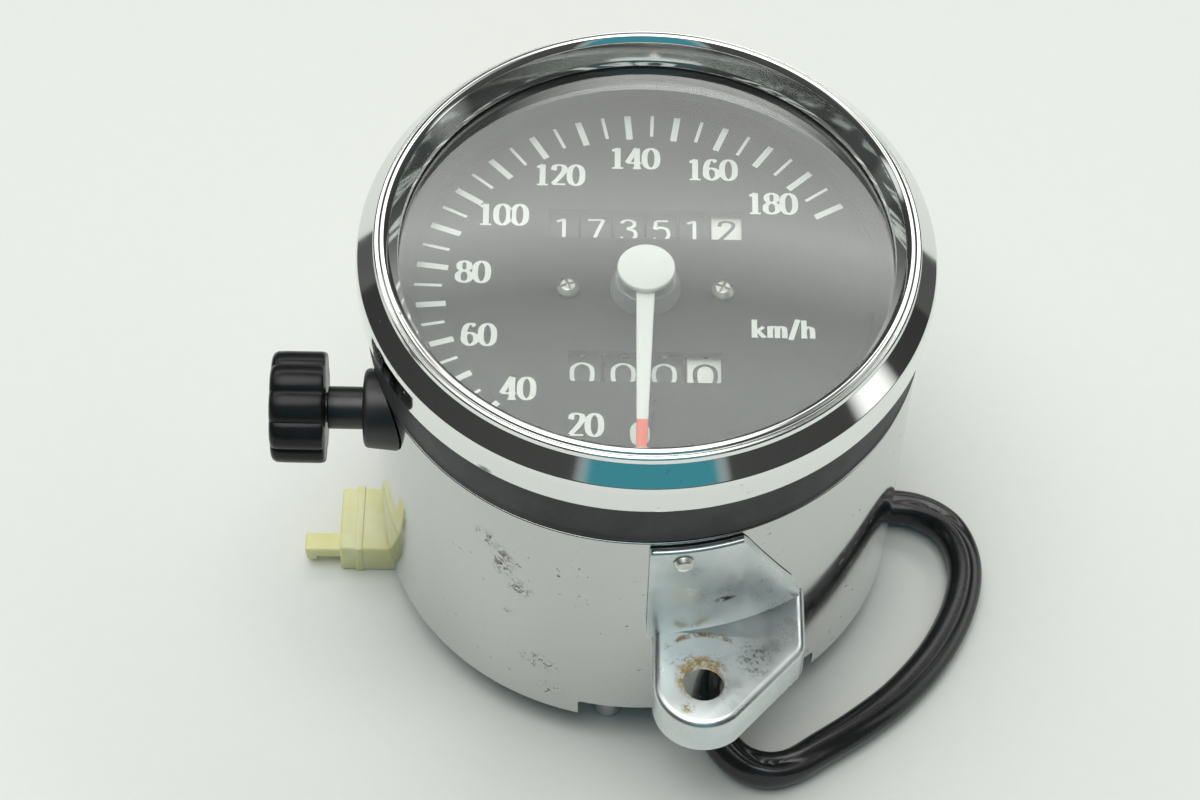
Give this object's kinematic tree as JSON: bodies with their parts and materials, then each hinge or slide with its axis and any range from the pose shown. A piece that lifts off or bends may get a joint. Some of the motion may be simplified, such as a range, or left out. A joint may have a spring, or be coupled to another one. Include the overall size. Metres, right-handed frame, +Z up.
{
  "type": "motorcycle speedometer",
  "caption": "Round chrome-cased mechanical speedometer with counters, side reset knob, sheet bracket and harness.",
  "frame": {"origin": "on the surface the gauge stands on, under the middle of the box round the gauge without its harness", "axes": "+Z up out of the dial, +Y towards twelve o'clock on the dial, the reset knob towards -X and the bracket towards -Y"},
  "size_m": [0.117, 0.1068, 0.0805],
  "materials": {
    "chrome": "polished, lightly pitted",
    "zinc_plate": "satin zinc plate",
    "steel": "plain steel",
    "brass": "machined",
    "aluminium": "drawn sheet",
    "rubber": "matt",
    "black_plastic": "glossy moulded",
    "dial_black": "matt paint",
    "white_plastic": "satin",
    "clear_plastic": "clear moulded",
    "glass": "flat clear glass",
    "aged_nylon": "natural nylon, yellowed"
  },
  "bodies": {
    "gauge": {"outer_cover": "chrome", "inner_case": "black_plastic", "band_seal": "rubber", "bezel": "chrome", "lens": "glass", "lens_gasket": "rubber", "dial_ring": "dial_black", "dial_plate": "dial_black", "dial_screw_left": "steel", "dial_screw_right": "steel", "needle_stop": "steel", "hairspring": "brass", "flux_ring": "steel", "odometer_axle": "steel", "movement_frame": "steel", "spindle_bridge": "steel", "reset_grommet": "rubber", "mounting_bracket": "zinc_plate", "bracket_rivet": "steel", "cover_stud_1": "steel", "cover_stud_2": "steel", "cover_stud_3": "steel", "cover_nut_1": "steel", "cover_nut_2": "steel", "cover_nut_3": "steel", "cable_ferrule": "zinc_plate", "lamp_socket": "black_plastic", "lamp_bulb": "glass", "harness_grommet": "rubber", "harness_sleeve": "black_plastic", "harness_plug": "aged_nylon"},
    "needle_group": {"needle": "white_plastic", "needle_cap": "white_plastic", "needle_hub": "clear_plastic", "needle_spindle": "steel", "speed_cup": "aluminium"},
    "drive": {"drive_shaft": "steel", "magnet": "steel"},
    "cross": {"cross_shaft": "brass"},
    "counter": {"counter_shaft": "brass"},
    "odometer_1": {"odometer_wheel_1": "white_plastic", "odometer_gear": "brass"},
    "odometer_2": {"odometer_wheel_2": "dial_black"},
    "odometer_3": {"odometer_wheel_3": "dial_black"},
    "odometer_4": {"odometer_wheel_4": "dial_black"},
    "odometer_5": {"odometer_wheel_5": "dial_black"},
    "odometer_6": {"odometer_wheel_6": "dial_black"},
    "trip_1": {"trip_wheel_1": "white_plastic", "trip_gear": "brass"},
    "trip_2": {"trip_wheel_2": "dial_black"},
    "trip_3": {"trip_wheel_3": "dial_black"},
    "trip_4": {"trip_wheel_4": "dial_black"},
    "reset": {"reset_shaft": "steel", "reset_knob": "black_plastic"}
  },
  "joints": [
    {"name": "needle_swing", "type": "hinge", "parent": "gauge", "child": "needle_group", "pos_m": [0.00655, 0.0084, 0.0655], "axis": [0, 0, -1], "range_deg": [0, 239], "stiffness_Nm_per_rad": 0.00002, "springref_deg": -17.19},
    {"name": "drive_spin", "type": "hinge", "parent": "gauge", "child": "drive", "pos_m": [0.00655, 0.0084, 0.03], "axis": [0, 0, 1], "continuous": true},
    {"name": "cross_spin", "type": "hinge", "parent": "gauge", "child": "cross", "pos_m": [0.00655, 0.0154, 0.024], "axis": [1, 0, 0], "continuous": true},
    {"name": "counter_spin", "type": "hinge", "parent": "gauge", "child": "counter", "pos_m": [0.03005, 0.00775, 0.04], "axis": [0, 0, 1], "continuous": true},
    {"name": "odometer_1_turn", "type": "hinge", "parent": "gauge", "child": "odometer_1", "pos_m": [0.01955, 0.0221, 0.054], "axis": [1, 0, 0], "continuous": true},
    {"name": "odometer_2_turn", "type": "hinge", "parent": "gauge", "child": "odometer_2", "pos_m": [0.01435, 0.0221, 0.054], "axis": [1, 0, 0], "continuous": true},
    {"name": "odometer_3_turn", "type": "hinge", "parent": "gauge", "child": "odometer_3", "pos_m": [0.00915, 0.0221, 0.054], "axis": [1, 0, 0], "continuous": true},
    {"name": "odometer_4_turn", "type": "hinge", "parent": "gauge", "child": "odometer_4", "pos_m": [0.00395, 0.0221, 0.054], "axis": [1, 0, 0], "continuous": true},
    {"name": "odometer_5_turn", "type": "hinge", "parent": "gauge", "child": "odometer_5", "pos_m": [-0.00125, 0.0221, 0.054], "axis": [1, 0, 0], "continuous": true},
    {"name": "odometer_6_turn", "type": "hinge", "parent": "gauge", "child": "odometer_6", "pos_m": [-0.00645, 0.0221, 0.054], "axis": [1, 0, 0], "continuous": true},
    {"name": "trip_1_turn", "type": "hinge", "parent": "gauge", "child": "trip_1", "pos_m": [0.01597, -0.0066, 0.054], "axis": [1, 0, 0], "continuous": true},
    {"name": "trip_2_turn", "type": "hinge", "parent": "gauge", "child": "trip_2", "pos_m": [0.00962, -0.0066, 0.054], "axis": [1, 0, 0], "continuous": true},
    {"name": "trip_3_turn", "type": "hinge", "parent": "gauge", "child": "trip_3", "pos_m": [0.00327, -0.0066, 0.054], "axis": [1, 0, 0], "continuous": true},
    {"name": "trip_4_turn", "type": "hinge", "parent": "gauge", "child": "trip_4", "pos_m": [-0.00307, -0.0066, 0.054], "axis": [1, 0, 0], "continuous": true},
    {"name": "reset_turn", "type": "hinge", "parent": "gauge", "child": "reset", "pos_m": [-0.04735, -0.0066, 0.054], "axis": [-1, 0, 0], "continuous": true}
  ],
  "couplings": [
    {"joint": "cross_spin", "follows": "drive_spin", "ratio": 0.035714},
    {"joint": "counter_spin", "follows": "drive_spin", "ratio": 0.017857},
    {"joint": "odometer_1_turn", "follows": "drive_spin", "ratio": 0.00071429},
    {"joint": "odometer_2_turn", "follows": "drive_spin", "ratio": 0.000071429},
    {"joint": "odometer_3_turn", "follows": "drive_spin", "ratio": 0.0000071429},
    {"joint": "odometer_4_turn", "follows": "drive_spin", "ratio": 0.00000071429},
    {"joint": "odometer_5_turn", "follows": "drive_spin", "ratio": 0.000000071429},
    {"joint": "odometer_6_turn", "follows": "drive_spin", "ratio": 0.0000000071429},
    {"joint": "trip_1_turn", "follows": "drive_spin", "ratio": 0.00071429},
    {"joint": "trip_2_turn", "follows": "drive_spin", "ratio": 0.000071429},
    {"joint": "trip_3_turn", "follows": "drive_spin", "ratio": 0.0000071429},
    {"joint": "trip_4_turn", "follows": "drive_spin", "ratio": 0.00000071429}
  ]
}
